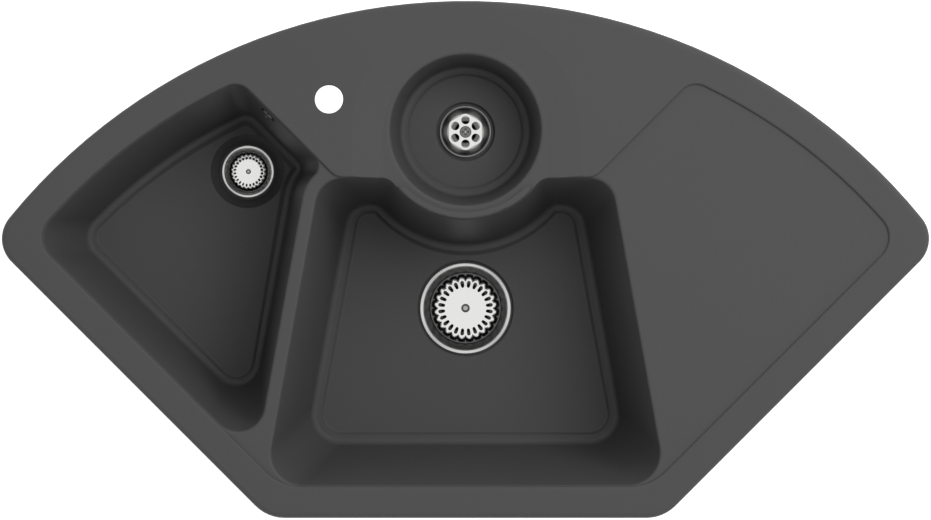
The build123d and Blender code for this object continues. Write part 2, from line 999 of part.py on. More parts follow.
def basket(cap):
    """The slotted cap: a flat disc, a falling shoulder with slots, and a skirt."""
    piece = pressed(
        cap.waste.centre,
        cap.waste.seat,
        [cap.shoulder_radius, cap.shoulder_radius],
        (cap.rim, -cap.rim_depth),
        (cap.shoulder, -cap.shoulder_depth),
        (cap.disc, -cap.top_depth),
        (pin_radius, -cap.top_depth),
    )
    length = cap.slot_end - cap.disc
    with BuildPart() as slotted:
        add(piece.part)
        with BuildSketch(Plane.XY.offset(cap.top + sheet)):
            with Locations(cap.waste.centre):
                with PolarLocations(cap.disc + length / 2, cap.slot_count, start_angle=180 / cap.slot_count):
                    SlotOverall(length, cap.slot_width)
        extrude(amount=-cap.rim_depth, mode=Mode.SUBTRACT)
    return slotted


def basket_pin(cap):
    """The rivet through the cap's middle, down to the plug it carries."""
    stem_end = cap.plug_bottom + plug_thickness - cap.top
    with BuildPart() as pin:
        with BuildSketch(upright(cap.waste.centre, cap.top)) as section:
            Polygon(
                (0, sheet),
                (cap.head, sheet),
                (cap.head, 0),
                (pin_radius, 0),
                (pin_radius, stem_end),
                (0, stem_end),
                align=None,
            )
            fillet(section.vertices().sort_by_distance((cap.head, sheet))[0], rivet_edge)
        revolve(axis=axis_at(cap.waste.centre))
    return pin


def plug(cap):
    """The rubber plug under a cap: a disc with a soft lip that closes the cup's opening."""
    radius = cap.waste.opening + plug_lap
    foot = cap.waste.plate_top + free_clearance - cap.plug_bottom
    with BuildPart() as piece:
        with BuildSketch(upright(cap.waste.centre, cap.plug_bottom)):
            Polygon(
                (0, plug_thickness),
                (radius - plug_thickness, plug_thickness),
                (radius, foot + plug_thickness / 2),
                (radius, foot),
                (radius - plug_thickness, foot),
                (radius - plug_thickness, 0),
                (0, 0),
                align=None,
            )
        revolve(axis=axis_at(cap.waste.centre))
    return piece


for name, cap in baskets.items():
    write(basket(cap), f"{name}_basket")
    write(basket_pin(cap), f"{name}_basket_pin")
    write(plug(cap), f"{name}_plug")

# Round bowl: a short flange with a fixed sieve plate on its shoulder, held by one screw.
# The plate is a hexagon with round corners, and has a hole in each of them.
write(cup(round_waste), "round_flange")

with BuildPart() as round_sieve:
    with BuildSketch(Plane.XY.offset(round_waste.plate_top)) as plate:
        with Locations(round_waste.centre):
            RegularPolygon(sieve_half_width, sieve_hole_count, major_radius=False, rotation=90)
            fillet(plate.vertices(), sieve_corner_radius)
            Circle(screw_radius + free_clearance, mode=Mode.SUBTRACT)
            with PolarLocations(sieve_hole_circle, sieve_hole_count, start_angle=90):
                Circle(sieve_hole_radius, mode=Mode.SUBTRACT)
    extrude(amount=sieve_thickness)
write(round_sieve, "round_sieve_plate")
write(
    screw(
        round_waste.centre,
        round_waste.plate_top + sieve_thickness + screw_head_height,
        round_screw_head,
        screw_head_height + sieve_thickness + sheet + hub_drop + hub_height,
    ),
    "round_screw",
)


# Pipes: each way runs from the manifold's axis up a small fall to the foot of a waste
manifold_top = main_waste.outlet_z + insertion
branch_z = main_waste.outlet_z - branch_drop
junction = Vector(*main_centre, branch_z)


def pipe_corner(waste):
    """The point under a waste where its pipe turns from upright towards the manifold."""
    across = hypot(waste.centre[0] - main_centre[0], waste.centre[1] - main_centre[1])
    return Vector(*waste.centre, branch_z + across * pipe_fall)


def branch_way(waste):
    return (pipe_corner(waste) - junction).normalized()


def tube(radius, thickness, bend, *points):
    """A bent pipe of round section along the points."""
    with BuildPart() as pipe:
        with BuildLine() as route:
            FilletPolyline(*points, radius=bend)
        with BuildSketch(Plane(origin=route.wire() @ 0, z_dir=route.wire() % 0)):
            Circle(radius)
            Circle(radius - thickness, mode=Mode.SUBTRACT)
        sweep()
    return pipe


for name in ("left", "round"):
    waste = wastes[name]
    top = Vector(*waste.centre, waste.outlet_z + insertion)
    end = junction + branch_way(waste) * (branch_reach - insertion)
    write(tube(pipe_radius, pipe_wall, pipe_bend, top, pipe_corner(waste), end), f"{name}_pipe")

with BuildPart() as manifold:
    bore = pipe_radius - pipe_wall
    socket = pipe_radius + free_clearance
    branches = [Plane(origin=junction, z_dir=branch_way(wastes[name])) for name in ("left", "round")]
    with Locations(Location(junction)):
        Cylinder(pipe_radius + manifold_wall, manifold_half * 2)
    manifold_foot = branch_z - manifold_half - outlet_length
    with Locations((*main_centre, manifold_foot)):
        Cylinder(pipe_radius, manifold_top - manifold_foot, align=(Align.CENTER, Align.CENTER, Align.MIN))
    for branch in branches:
        with BuildSketch(branch):
            Circle(socket + socket_wall)
        extrude(amount=branch_reach)
    with Locations((*main_centre, manifold_foot)):
        height = manifold_top - manifold_foot
        Cylinder(bore, height, align=(Align.CENTER, Align.CENTER, Align.MIN), mode=Mode.SUBTRACT)
    for branch in branches:
        with BuildSketch(branch):
            Circle(bore - branch_neck)
        extrude(amount=branch_reach, mode=Mode.SUBTRACT)
        with BuildSketch(branch.offset(branch_reach)):
            Circle(socket)
        extrude(amount=-insertion - free_clearance, mode=Mode.SUBTRACT)
write(manifold, "manifold")


def union(mouth, radius, wall_thickness, name):
    """The ring seal and the nut at the mouth of a threaded socket; the plane looks along the pipe."""
    fit = radius + free_clearance
    thread = fit + wall_thickness
    with BuildPart() as washer:
        with BuildSketch(mouth):
            Circle(thread)
            Circle(fit, mode=Mode.SUBTRACT)
        extrude(amount=seal_ring)
    write(washer, f"{name}_seal")
    outer = thread + nut_wall
    with BuildPart() as nut:
        with BuildSketch(mouth.offset(seal_ring + nut_lip)):
            Circle(outer)
            with PolarLocations(outer, nut_lug_count):
                Circle(nut_lug_radius)
        extrude(amount=-nut_length)
        with BuildSketch(mouth.offset(seal_ring)):
            Circle(thread + free_clearance)
        extrude(amount=-nut_length, mode=Mode.SUBTRACT)
        with BuildSketch(mouth.offset(seal_ring + nut_lip)):
            Circle(fit)
        extrude(amount=-nut_length, mode=Mode.SUBTRACT)
    write(nut, f"{name}_nut")


for name, waste in wastes.items():
    mouth = Plane(origin=(*waste.centre, waste.outlet_z), z_dir=(0, 0, -1))
    union(mouth, pipe_radius, socket_wall, f"{name}_tail")
for name, branch in zip(("left", "round"), branches):
    union(branch.offset(branch_reach), pipe_radius, socket_wall, f"{name}_branch")

# Overflow: cap and screw in the bowl, gasket and elbow behind its wall, and a pipe to the waste
with BuildPart() as overflow_cap:
    with BuildSketch(Plane(overflow_plane.origin, overflow_plane.x_dir, -overflow_plane.y_dir)):
        add(
            skin_section(
                [sheet, sheet],
                (rosette_radius, free_clearance),
                (rosette_radius, rosette_height - sheet),
                (overflow_screw_head, rosette_height),
                (overflow_screw_radius + free_clearance, rosette_height),
            )
        )
    revolve(axis=Axis(overflow_plane.origin, overflow_plane.z_dir))
    with BuildSketch(overflow_plane):
        with PolarLocations(rosette_radius, rosette_slot_count):
            Rectangle(rosette_slot_length, rosette_slot_width)
    extrude(amount=rosette_slot_depth, mode=Mode.SUBTRACT)
write(overflow_cap, "overflow_cap")

with BuildPart() as overflow_gasket:
    with BuildSketch(overflow_plane.offset(elbow_top)):
        Circle(overflow_flange_radius)
        Circle(overflow_hole_radius, mode=Mode.SUBTRACT)
    extrude(amount=overflow_gasket_thickness)
write(overflow_gasket, "overflow_gasket")

with BuildPart() as overflow_elbow:
    with BuildLine() as route:
        FilletPolyline(elbow_start, elbow_corner, elbow_end, radius=overflow_bend)
    with BuildSketch(overflow_plane.offset(elbow_top)):
        Circle(pipe_fit + overflow_pipe_wall)
    sweep()
    with BuildSketch(overflow_plane.offset(elbow_top)):
        Circle(overflow_flange_radius)
    extrude(amount=-overflow_flange)
    with BuildSketch(overflow_plane.offset(elbow_top)):
        Circle(overflow_hole_radius)
    sweep(path=route.wire(), mode=Mode.SUBTRACT)
    with BuildSketch(Plane(origin=elbow_end, z_dir=(0, 0, 1))):
        Circle(pipe_fit)
    extrude(amount=insertion, mode=Mode.SUBTRACT)
    with BuildSketch(overflow_plane.offset(elbow_top)):
        Rectangle(overflow_hole_radius * 2 + sheet, overflow_bridge)
        Circle(overflow_screw_radius + free_clearance, mode=Mode.SUBTRACT)
    extrude(amount=-overflow_flange)
write(overflow_elbow, "overflow_elbow")

with BuildPart() as overflow_screw:
    with BuildSketch(overflow_plane.offset(rosette_height)):
        Circle(overflow_screw_head)
    extrude(amount=overflow_head_height)
    with BuildSketch(overflow_plane.offset(rosette_height)):
        Circle(overflow_screw_radius)
    extrude(amount=elbow_top - rosette_height - overflow_flange)
write(overflow_screw, "overflow_screw")

overflow_pipe = tube(overflow_pipe_radius, overflow_pipe_wall, overflow_bend, pipe_top, pipe_turn, pipe_end)
write(overflow_pipe, "overflow_pipe")
union(inlet.offset(inlet_reach), overflow_pipe_radius, plastic_wall, "overflow")
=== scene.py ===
from math import pi

import bpy
import numpy as np
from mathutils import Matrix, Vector


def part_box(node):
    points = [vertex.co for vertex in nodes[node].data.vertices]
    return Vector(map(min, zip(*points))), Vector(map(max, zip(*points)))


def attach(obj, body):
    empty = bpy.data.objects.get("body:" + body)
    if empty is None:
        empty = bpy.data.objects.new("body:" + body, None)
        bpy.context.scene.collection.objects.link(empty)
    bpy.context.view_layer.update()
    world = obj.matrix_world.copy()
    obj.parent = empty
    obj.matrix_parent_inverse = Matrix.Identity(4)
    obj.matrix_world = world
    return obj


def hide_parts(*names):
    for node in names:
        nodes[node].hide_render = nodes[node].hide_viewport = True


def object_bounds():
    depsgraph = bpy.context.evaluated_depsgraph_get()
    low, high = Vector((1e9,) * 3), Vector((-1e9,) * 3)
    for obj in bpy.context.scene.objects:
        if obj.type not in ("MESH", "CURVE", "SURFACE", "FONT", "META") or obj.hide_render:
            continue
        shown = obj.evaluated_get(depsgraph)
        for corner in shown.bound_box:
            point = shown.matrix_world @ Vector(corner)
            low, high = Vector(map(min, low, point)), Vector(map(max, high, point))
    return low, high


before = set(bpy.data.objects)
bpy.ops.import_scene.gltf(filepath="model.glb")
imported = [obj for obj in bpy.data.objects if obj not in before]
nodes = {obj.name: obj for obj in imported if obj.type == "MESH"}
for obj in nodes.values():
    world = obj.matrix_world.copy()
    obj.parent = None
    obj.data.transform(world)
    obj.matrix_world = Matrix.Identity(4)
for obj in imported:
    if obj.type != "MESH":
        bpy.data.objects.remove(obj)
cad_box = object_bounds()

# Sink body: one casting of mineral composite, dark graphite through and through, with a matt
# skin in which fine sand grains just show. It hangs in the worktop on its rim.
graphite_colour = (0.066, 0.066, 0.0665)
broad_grain_scale = 9
broad_grain_share = 0.25
grain_relief = 0.0002
gloss_spread = 0.06


def group_socket(group, name, kind, into, value=None):
    """One input or output of a shader group, with its default value."""
    made = group.interface.new_socket(name=name, in_out=into, socket_type=kind)
    if value is not None:
        made.default_value = value


def arithmetic(tree, operation, *values):
    """A Math node over values, each a number or the output of another node."""
    node = tree.nodes.new("ShaderNodeMath")
    node.operation = operation
    for given, value in zip(node.inputs, values):
        if isinstance(value, bpy.types.NodeSocket):
            tree.links.new(value, given)
        else:
            given.default_value = value
    return node.outputs[0]


def ranged(tree, value, low, high, at_low, at_high):
    """A value turned from the range low to high into at_low to at_high, and held outside it."""
    node = tree.nodes.new("ShaderNodeMapRange")
    node.inputs["From Min"].default_value = low
    node.inputs["From Max"].default_value = high
    node.inputs["To Min"].default_value = at_low
    node.inputs["To Max"].default_value = at_high
    tree.links.new(value, node.inputs["Value"])
    return node.outputs["Result"]


def scaled(tree, colour, factor):
    """A colour times a factor."""
    node = tree.nodes.new("ShaderNodeVectorMath")
    node.operation = "SCALE"
    tree.links.new(colour, node.inputs[0])
    tree.links.new(factor, node.inputs["Scale"])
    return node.outputs[0]


def grain_group():
    """Mineral grain: noise at two sizes shifts a colour up and down, and gives a fine height."""
    tree = bpy.data.node_groups.new("mineral_grain", "ShaderNodeTree")
    group_socket(tree, "Colour", "NodeSocketColor", "INPUT", (0.1, 0.1, 0.1, 1))
    group_socket(tree, "Grain scale", "NodeSocketFloat", "INPUT", 900.0)
    group_socket(tree, "Contrast", "NodeSocketFloat", "INPUT", 0.2)
    group_socket(tree, "Vector", "NodeSocketVector", "INPUT")
    group_socket(tree, "Colour", "NodeSocketColor", "OUTPUT")
    group_socket(tree, "Height", "NodeSocketFloat", "OUTPUT")
    group_socket(tree, "Mottle", "NodeSocketFloat", "OUTPUT")
    given = tree.nodes.new("NodeGroupInput")
    out = tree.nodes.new("NodeGroupOutput")
    fine = tree.nodes.new("ShaderNodeTexNoise")
    fine.inputs["Detail"].default_value = 2
    broad = tree.nodes.new("ShaderNodeTexNoise")
    broad.inputs["Scale"].default_value = broad_grain_scale
    broad.inputs["Detail"].default_value = 3
    tree.links.new(given.outputs["Vector"], fine.inputs["Vector"])
    tree.links.new(given.outputs["Vector"], broad.inputs["Vector"])
    tree.links.new(given.outputs["Grain scale"], fine.inputs["Scale"])
    share = broad_grain_share
    both = arithmetic(tree, "MULTIPLY_ADD", broad.outputs["Fac"], share, fine.outputs["Fac"])
    centred = arithmetic(tree, "SUBTRACT", both, (1 + share) / 2)
    factor = arithmetic(tree, "MULTIPLY_ADD", centred, given.outputs["Contrast"], 1)
    tree.links.new(scaled(tree, given.outputs["Colour"], factor), out.inputs["Colour"])
    tree.links.new(fine.outputs["Fac"], out.inputs["Height"])
    tree.links.new(broad.outputs["Fac"], out.inputs["Mottle"])
    return tree


def grained(name, colour, scale, contrast, roughness, specular, bump):
    """A matt mineral or moulded skin from the grain group. A larger scale makes finer grains."""
    material = bpy.data.materials.new(name)
    material.use_nodes = True
    tree = material.node_tree
    skin = tree.nodes["Principled BSDF"]
    skin.inputs["Specular IOR Level"].default_value = specular
    place = tree.nodes.new("ShaderNodeTexCoord")
    grain = tree.nodes.new("ShaderNodeGroup")
    grain.node_tree = mineral_grain
    grain.inputs["Colour"].default_value = (*colour, 1)
    grain.inputs["Grain scale"].default_value = scale
    grain.inputs["Contrast"].default_value = contrast
    tree.links.new(place.outputs["Object"], grain.inputs["Vector"])
    tree.links.new(grain.outputs["Colour"], skin.inputs["Base Color"])
    matt, glossy = roughness + gloss_spread, roughness - gloss_spread
    rough = ranged(tree, grain.outputs["Mottle"], 0, 1, glossy, matt)
    tree.links.new(rough, skin.inputs["Roughness"])
    raised = tree.nodes.new("ShaderNodeBump")
    raised.inputs["Strength"].default_value = bump
    raised.inputs["Distance"].default_value = grain_relief
    tree.links.new(grain.outputs["Height"], raised.inputs["Height"])
    tree.links.new(raised.outputs["Normal"], skin.inputs["Normal"])
    return material


def dress(material, *names):
    """Give CAD nodes their material."""
    for name in names:
        slots = nodes[name].data.materials
        slots.clear()
        slots.append(material)


mineral_grain = grain_group()
graphite = grained(
    "graphite_composite",
    graphite_colour,
    scale=900,
    contrast=0.3,
    roughness=0.52,
    specular=0.3,
    bump=0.15,
)
dress(graphite, "sink_body")

# Drain flanges: a deep cup of pressed stainless steel for each bowl, whose rolled lip lies in the
# bowl's floor. The lips are turned bright, and painted shade darkens the cups below them.
lip_colour = (0.68, 0.68, 0.67)
small_lip_colour = (0.23, 0.23, 0.23)
lip_height = 0.0034
flange_roughness = 0.34
bead_columns = 192
bead_rise = 0.0001
dish_unshaded_tone = (0.55, 0.55, 0.54)
dish_painted_shade = (0.06, 0.06, 0.06)
dish_inner_radius = 0.0212
dish_outer_radius = 0.0265
dish_roughness = 0.4
ring_pitch = 0.0004
ring_contrast = 0.12
ring_gloss_spread = 0.05
ring_bump = 0.2
ring_relief = 0.00003
# Sectors of painted sheen round each turned axis
sector_count = 4


def turned_group():
    """Lathe marks and painted sheen: noise by the distance from the upright axis, and a cross of
    brighter sectors of painted sheen, 1 in their middles and 0 between them, by the cosine of the
    angle round it."""
    tree = bpy.data.node_groups.new("lathe_marks_and_sheen", "ShaderNodeTree")
    group_socket(tree, "Vector", "NodeSocketVector", "INPUT")
    group_socket(tree, "Pitch", "NodeSocketFloat", "INPUT", ring_pitch)
    group_socket(tree, "Rings", "NodeSocketFloat", "OUTPUT")
    group_socket(tree, "Sheen cross", "NodeSocketFloat", "OUTPUT")
    group_socket(tree, "Radius", "NodeSocketFloat", "OUTPUT")
    group_socket(tree, "Height", "NodeSocketFloat", "OUTPUT")
    given = tree.nodes.new("NodeGroupInput")
    out = tree.nodes.new("NodeGroupOutput")
    split = tree.nodes.new("ShaderNodeSeparateXYZ")
    tree.links.new(given.outputs["Vector"], split.inputs[0])
    x, y, z = split.outputs
    x_squared = arithmetic(tree, "MULTIPLY", x, x)
    radius = arithmetic(tree, "SQRT", arithmetic(tree, "MULTIPLY_ADD", y, y, x_squared))
    rings = tree.nodes.new("ShaderNodeTexNoise")
    rings.noise_dimensions = "1D"
    rings.inputs["Scale"].default_value = 1
    rings.inputs["Detail"].default_value = 3
    tree.links.new(arithmetic(tree, "DIVIDE", radius, given.outputs["Pitch"]), rings.inputs["W"])
    turn = arithmetic(tree, "MULTIPLY", arithmetic(tree, "ARCTAN2", y, x), sector_count)
    sheen_cross = arithmetic(tree, "MULTIPLY_ADD", arithmetic(tree, "COSINE", turn), 0.5, 0.5)
    tree.links.new(rings.outputs["Fac"], out.inputs["Rings"])
    tree.links.new(sheen_cross, out.inputs["Sheen cross"])
    tree.links.new(radius, out.inputs["Radius"])
    tree.links.new(z, out.inputs["Height"])
    return tree


def turned(name, centre, along, low, high, at_low, at_high, roughness, sheen_cross=0.0):
    """Turned steel about an upright axis. Its colour goes from at_low to at_high along the group's
    output named along, and is darker by the share sheen_cross between the sectors of painted sheen."""
    material = bpy.data.materials.new(name)
    material.use_nodes = True
    tree = material.node_tree
    skin = tree.nodes["Principled BSDF"]
    skin.inputs["Metallic"].default_value = 1
    place = tree.nodes.new("ShaderNodeTexCoord")
    centred = tree.nodes.new("ShaderNodeMapping")
    centred.inputs["Location"].default_value = (-centre[0], -centre[1], 0)
    marks = tree.nodes.new("ShaderNodeGroup")
    marks.node_tree = lathe_marks_and_sheen
    marks.inputs["Pitch"].default_value = ring_pitch
    tree.links.new(place.outputs["Object"], centred.inputs["Vector"])
    tree.links.new(centred.outputs["Vector"], marks.inputs["Vector"])
    blend = tree.nodes.new("ShaderNodeMix")
    blend.data_type = "RGBA"
    blend.inputs[6].default_value = (*at_low, 1)
    blend.inputs[7].default_value = (*at_high, 1)
    tree.links.new(ranged(tree, marks.outputs[along], low, high, 0, 1), blend.inputs[0])
    least = 1 - ring_contrast / 2 - sheen_cross
    fine = arithmetic(tree, "MULTIPLY_ADD", marks.outputs["Rings"], ring_contrast, least)
    factor = arithmetic(tree, "MULTIPLY_ADD", marks.outputs["Sheen cross"], sheen_cross, fine)
    tree.links.new(scaled(tree, blend.outputs[2], factor), skin.inputs["Base Color"])
    dull, glossy = roughness + ring_gloss_spread, roughness - ring_gloss_spread
    rough = ranged(tree, marks.outputs["Rings"], 0, 1, glossy, dull)
    tree.links.new(rough, skin.inputs["Roughness"])
    raised = tree.nodes.new("ShaderNodeBump")
    raised.inputs["Strength"].default_value = ring_bump
    raised.inputs["Distance"].default_value = ring_relief
    tree.links.new(marks.outputs["Rings"], raised.inputs["Height"])
    tree.links.new(raised.outputs["Normal"], skin.inputs["Normal"])
    return material


def middle(node):
    """The middle of a CAD node's box."""
    low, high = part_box(node)
    return (low + high) / 2


def ring_surface(name, centre, radius, angle, height, keep=None):
    """A skin about an upright axis: x = radius times cos angle and y = radius times sin angle from
    the centre. Rows run outwards, columns once round, and a row of no radius closes in one point.
    Faces that keep marks false are left open."""
    rows, columns = radius.shape
    x = centre[0] + radius * np.cos(angle)
    y = centre[1] + radius * np.sin(angle)
    points = np.stack([x, y, height], axis=-1).reshape(-1, 3)
    index = np.arange(rows * columns).reshape(rows, columns)
    index[radius.max(axis=1) == 0] = index[radius.max(axis=1) == 0][:, :1]
    inner, outer = index[:-1], index[1:]
    faces = np.stack([inner, outer, np.roll(outer, -1, 1), np.roll(inner, -1, 1)], axis=-1)
    faces = faces.reshape(-1, 4) if keep is None else faces[keep]
    first = faces[:, 0] == faces[:, 3]
    last = faces[:, 1] == faces[:, 2]
    corners = np.concatenate([faces[first][:, :3], faces[last][:, (0, 1, 3)]])
    squares = faces[~first & ~last]
    every = np.concatenate([corners.ravel(), squares.ravel()])
    used, packed = np.unique(every, return_inverse=True)
    packed = packed.ravel()
    corners = packed[: corners.size].reshape(-1, 3)
    squares = packed[corners.size :].reshape(-1, 4)
    mesh = bpy.data.meshes.new(name)
    mesh.from_pydata(points[used].tolist(), [], corners.tolist() + squares.tolist())
    mesh.shade_smooth()
    made = bpy.data.objects.new(name, mesh)
    bpy.context.collection.objects.link(made)
    return made


def round_rod(name, centre, profile, columns=128):
    """A turned piece: the profile's radius and height go once round the upright axis."""
    radius, height = (np.repeat(np.array(side)[:, None], columns, 1) for side in zip(*profile))
    angle = np.linspace(0, 2 * pi, columns, endpoint=False)[None] + 0 * radius
    return ring_surface(name, centre, radius, angle, height)


lathe_marks_and_sheen = turned_group()
# For each flange: tone of its lip and painted shade of its cup, darkening between the sectors of
# painted sheen, and the width from the lip's edge to its mouth and to both ends of the flat bead on
# it, in millimetres
for drain, lip, cup_shade_tone, sheen_cross, mouth, flat, crown in (
    ("main", lip_colour, (0.13, 0.13, 0.13), 0.25, 4.9, 4.1, 1.2),
    ("left", lip_colour, (0.34, 0.34, 0.34), 0.25, 4.1, 3.3, 1.2),
    ("round", small_lip_colour, (0.15, 0.15, 0.15), 0.1, 2.6, 2.0, 0.4),
):
    node = f"{drain}_flange"
    low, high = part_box(node)
    top = high.z
    steel = turned(
        f"{drain}_flange_steel",
        middle(node),
        "Height",
        top - lip_height * 0.7,
        top - lip_height / 4,
        cup_shade_tone,
        lip,
        flange_roughness,
        sheen_cross,
    )
    dress(steel, node)
    edge = (high.x - low.x) / 2 * 1000
    inner = edge - mouth
    # The lip's rolled bead: radius, and depth below its top, from the mouth round to the edge
    bead = (
        (inner + 0.5, 2.0), (inner, 1.3), (inner + 0.1, 0.6),
        (edge - flat, 0.1), (edge - flat + 0.5, 0), (edge - crown, 0),
        (edge - crown / 2, 0.15), (edge - crown / 8, 0.55), (edge + 0.05, 1.1),
        (edge, 2.0), (edge - 0.8, 2.6),
    )
    rim = round_rod(
        f"{drain}_lip_bead",
        middle(node),
        [(r / 1000, top + bead_rise - d / 1000) for r, d in bead],
        bead_columns,
    )
    rim.data.materials.append(steel)
    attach(rim, "root")

# The round drain's flange is bright where it turns under the sieve plate, with painted shade further
# out
dish = turned(
    "round_dish_steel",
    middle("round_flange"),
    "Radius",
    dish_inner_radius,
    dish_outer_radius,
    dish_unshaded_tone,
    dish_painted_shade,
    dish_roughness,
)
dress(dish, "round_flange")

# Basket strainers of the main and the left bowl: a cap pressed from one sheet of stainless steel.
# 24 slots run out from its flat disc, each into a rounded lobe of the fluted edge.
cap_colour = (0.8, 0.8, 0.79)
# Painted shade on the fluted edge where it turns down into the flange
skirt_shade_colour = (0.12, 0.12, 0.12)
cap_sheet = 0.001
cap_edge_radius = 0.0002
cap_roughness = 0.25
cut_edge_angle = 0.7
slot_count = 24
slot_rows = 10
slot_steps = 6
rib_steps = 5
# Sizes in millimetres: radius at rows of the disc; slot's ends and half widths there; then radius
# and depth below the disc at rows of the edge, in a lobe and in the crease between two lobes.
cap_forms = {
    "main": (
        (0, 4.0, 9.0, 16.0, 21.0, 23.2, 24.1),
        (24.6, 32.8),
        (1.6, 2.35),
        (
            (33.8, 0.6), (35.2, 0.7), (36.6, 0.95), (37.7, 1.6), (38.4, 2.8), (38.8, 4.6),
            (39.0, 7.5), (39.3, 9.5), (40.0, 10.1), (41.2, 10.2), (42.3, 10.2),
        ),
        (
            (33.2, 1.3), (33.9, 2.2), (34.4, 3.3), (34.8, 4.6), (35.2, 6.2), (35.5, 8.0),
            (35.9, 9.3), (36.7, 10.0), (38.2, 10.15), (40.5, 10.2), (42.3, 10.2),
        ),
    ),
    "left": (
        (0, 2.5, 6.0, 10.0, 12.3, 13.6, 14.2),
        (14.5, 18.2),
        (0.9, 1.2),
        (
            (18.9, 0.4), (19.7, 0.55), (20.5, 0.9), (21.2, 1.5), (21.8, 2.4), (22.2, 3.5),
            (22.4, 5.4), (22.6, 6.8), (23.1, 7.4), (23.7, 7.5), (24.3, 7.5),
        ),
        (
            (18.7, 0.9), (19.1, 1.4), (19.5, 2.0), (19.9, 2.8), (20.3, 3.9), (20.6, 5.2),
            (20.9, 6.4), (21.4, 7.2), (22.3, 7.45), (23.4, 7.5), (24.3, 7.5),
        ),
    ),
}


def slotted_cap(name, centre, top, disc, ends, halves, lobe, crease):
    """A cap in equal sectors, one to a slot. In a sector the columns close in on the slot's edges,
    whose half width grows with the radius, and the rows bend round its two ends as half circles.
    Beyond the slot each point lies between lobe and crease by w = sqrt(1 - t^2), where t runs from
    0 in the middle of the sector to 1 at its sides."""
    base = np.concatenate([disc, np.linspace(*ends, slot_rows), [r for r, _ in lobe]])
    first = len(disc)
    last = first + slot_rows - 1
    row = np.arange(len(base))[:, None]
    half = np.interp(base, ends, halves)[:, None] / np.maximum(base, ends[0])[:, None]
    side = pi / slot_count
    rib = np.linspace(0, 1, rib_steps + 1)[:-1]
    across = -np.cos(np.linspace(0, pi, slot_steps + 1))[:-1]
    local = np.concatenate(
        [-side + (side - half) * rib, half * across, half + (side - half) * rib],
        axis=1,
    )
    reach = np.concatenate([rib, 1 - np.sqrt(1 - across**2), 1 - rib])[None]
    rise = np.interp(row, (first - 4, first, last), (0, 1, 0))
    fall = np.interp(row, (first, last, last + 4), (0, 1, 0))
    t = local / side
    lobed = np.sqrt(np.clip(1 - t**2, 0, 1))
    beyond = row > last
    depth = np.interp(base, (disc[-1], ends[1]), (0, crease[0][1] * 0.6))[:, None] + 0 * t
    edge = np.zeros(len(base))
    edge[last + 1 :] = [r for r, _ in crease]
    sunk_lobe = np.zeros(len(base))
    sunk_lobe[last + 1 :] = [z for _, z in lobe]
    sunk_crease = np.zeros(len(base))
    sunk_crease[last + 1 :] = [z for _, z in crease]
    radius = np.where(beyond, edge[:, None] + (base - edge)[:, None] * lobed, base[:, None] + 0 * t)
    depth = np.where(beyond, sunk_crease[:, None] + (sunk_lobe - sunk_crease)[:, None] * lobed, depth)
    radius = radius + reach * (rise * halves[0] - fall * halves[1])
    columns = local.shape[1]
    whole = np.arange(slot_count) * 2 * side + side
    angle = (whole[None, :, None] + local[:, None, :]).reshape(len(base), -1)
    column = np.arange(columns)
    slot_columns = (column >= rib_steps) & (column < rib_steps + slot_steps)
    in_slot = (row[:-1] >= first) & (row[:-1] < last)
    keep = ~(in_slot & np.tile(slot_columns, slot_count)[None])
    all_round = np.tile(radius, slot_count) / 1000
    height = top - np.tile(depth, slot_count) / 1000
    return ring_surface(name, centre, all_round, angle, height, keep)


def thicken(piece, thickness, edge):
    """Give a skin its sheet thickness, on its lower side, and soften its cut edges."""
    solid = piece.modifiers.new("sheet", "SOLIDIFY")
    solid.thickness = thickness
    solid.offset = -1
    soft = piece.modifiers.new("edge", "BEVEL")
    soft.width = edge
    soft.segments = 2
    soft.limit_method = "ANGLE"
    soft.angle_limit = cut_edge_angle
    soft.harden_normals = True


for drain, (disc, ends, halves, lobe, crease) in cap_forms.items():
    node = f"{drain}_basket"
    centre = middle(node)
    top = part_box(node)[1].z
    cap = slotted_cap(f"{drain}_strainer_cap", centre, top, disc, ends, halves, lobe, crease)
    thicken(cap, cap_sheet, cap_edge_radius)
    # The cap is bright down to the shoulder of its lobes, and painted shade darkens it below that of
    # its creases
    bright_depth = lobe[3][1] / 1000
    shade_depth = crease[3][1] / 1000
    steel = turned(
        f"{drain}_cap_steel",
        centre,
        "Height",
        top - shade_depth,
        top - bright_depth,
        skirt_shade_colour,
        cap_colour,
        cap_roughness,
    )
    cap.data.materials.append(steel)
    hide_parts(node)
    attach(cap, node)

# Strainer rivets: a turned stainless rivet through the middle of each cap, down to the rubber
# plug that it carries. Its head is crowned, with a shallow dish that the riveting left in it.
# Painted shade darkens the head's crown outside its dish
rivet_ring_shade = (0.13, 0.13, 0.13)
rivet_dish = (0.42, 0.42, 0.42)
# Radius as a share of the head's, and height above the cap as a share of the head's
rivet_head = (
    (0, 0.5), (0.2, 0.5), (0.4, 0.55), (0.5, 0.45), (0.58, 0.5), (0.68, 0.85), (0.78, 1),
    (0.88, 0.95), (0.95, 0.7), (1, 0.35), (1, 0),
)
rivet_stem = 0.0029
rivet_roughness = 0.3

for drain in ("main", "left"):
    node = f"{drain}_basket_pin"
    low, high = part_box(node)
    disc_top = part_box(f"{drain}_basket")[1].z
    head = (high.x - low.x) / 2
    profile = [(r * head, disc_top + z * (high.z - disc_top)) for r, z in rivet_head]
    profile += [(rivet_stem, disc_top), (rivet_stem, low.z), (0, low.z)]
    rivet = round_rod(f"{drain}_rivet", middle(node), profile)
    steel = turned(
        f"{drain}_rivet_steel",
        middle(node),
        "Radius",
        head * 0.5,
        head * 0.6,
        rivet_dish,
        rivet_ring_shade,
        rivet_roughness,
    )
    rivet.data.materials.append(steel)
    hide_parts(node)
    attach(rivet, f"{drain}_basket")

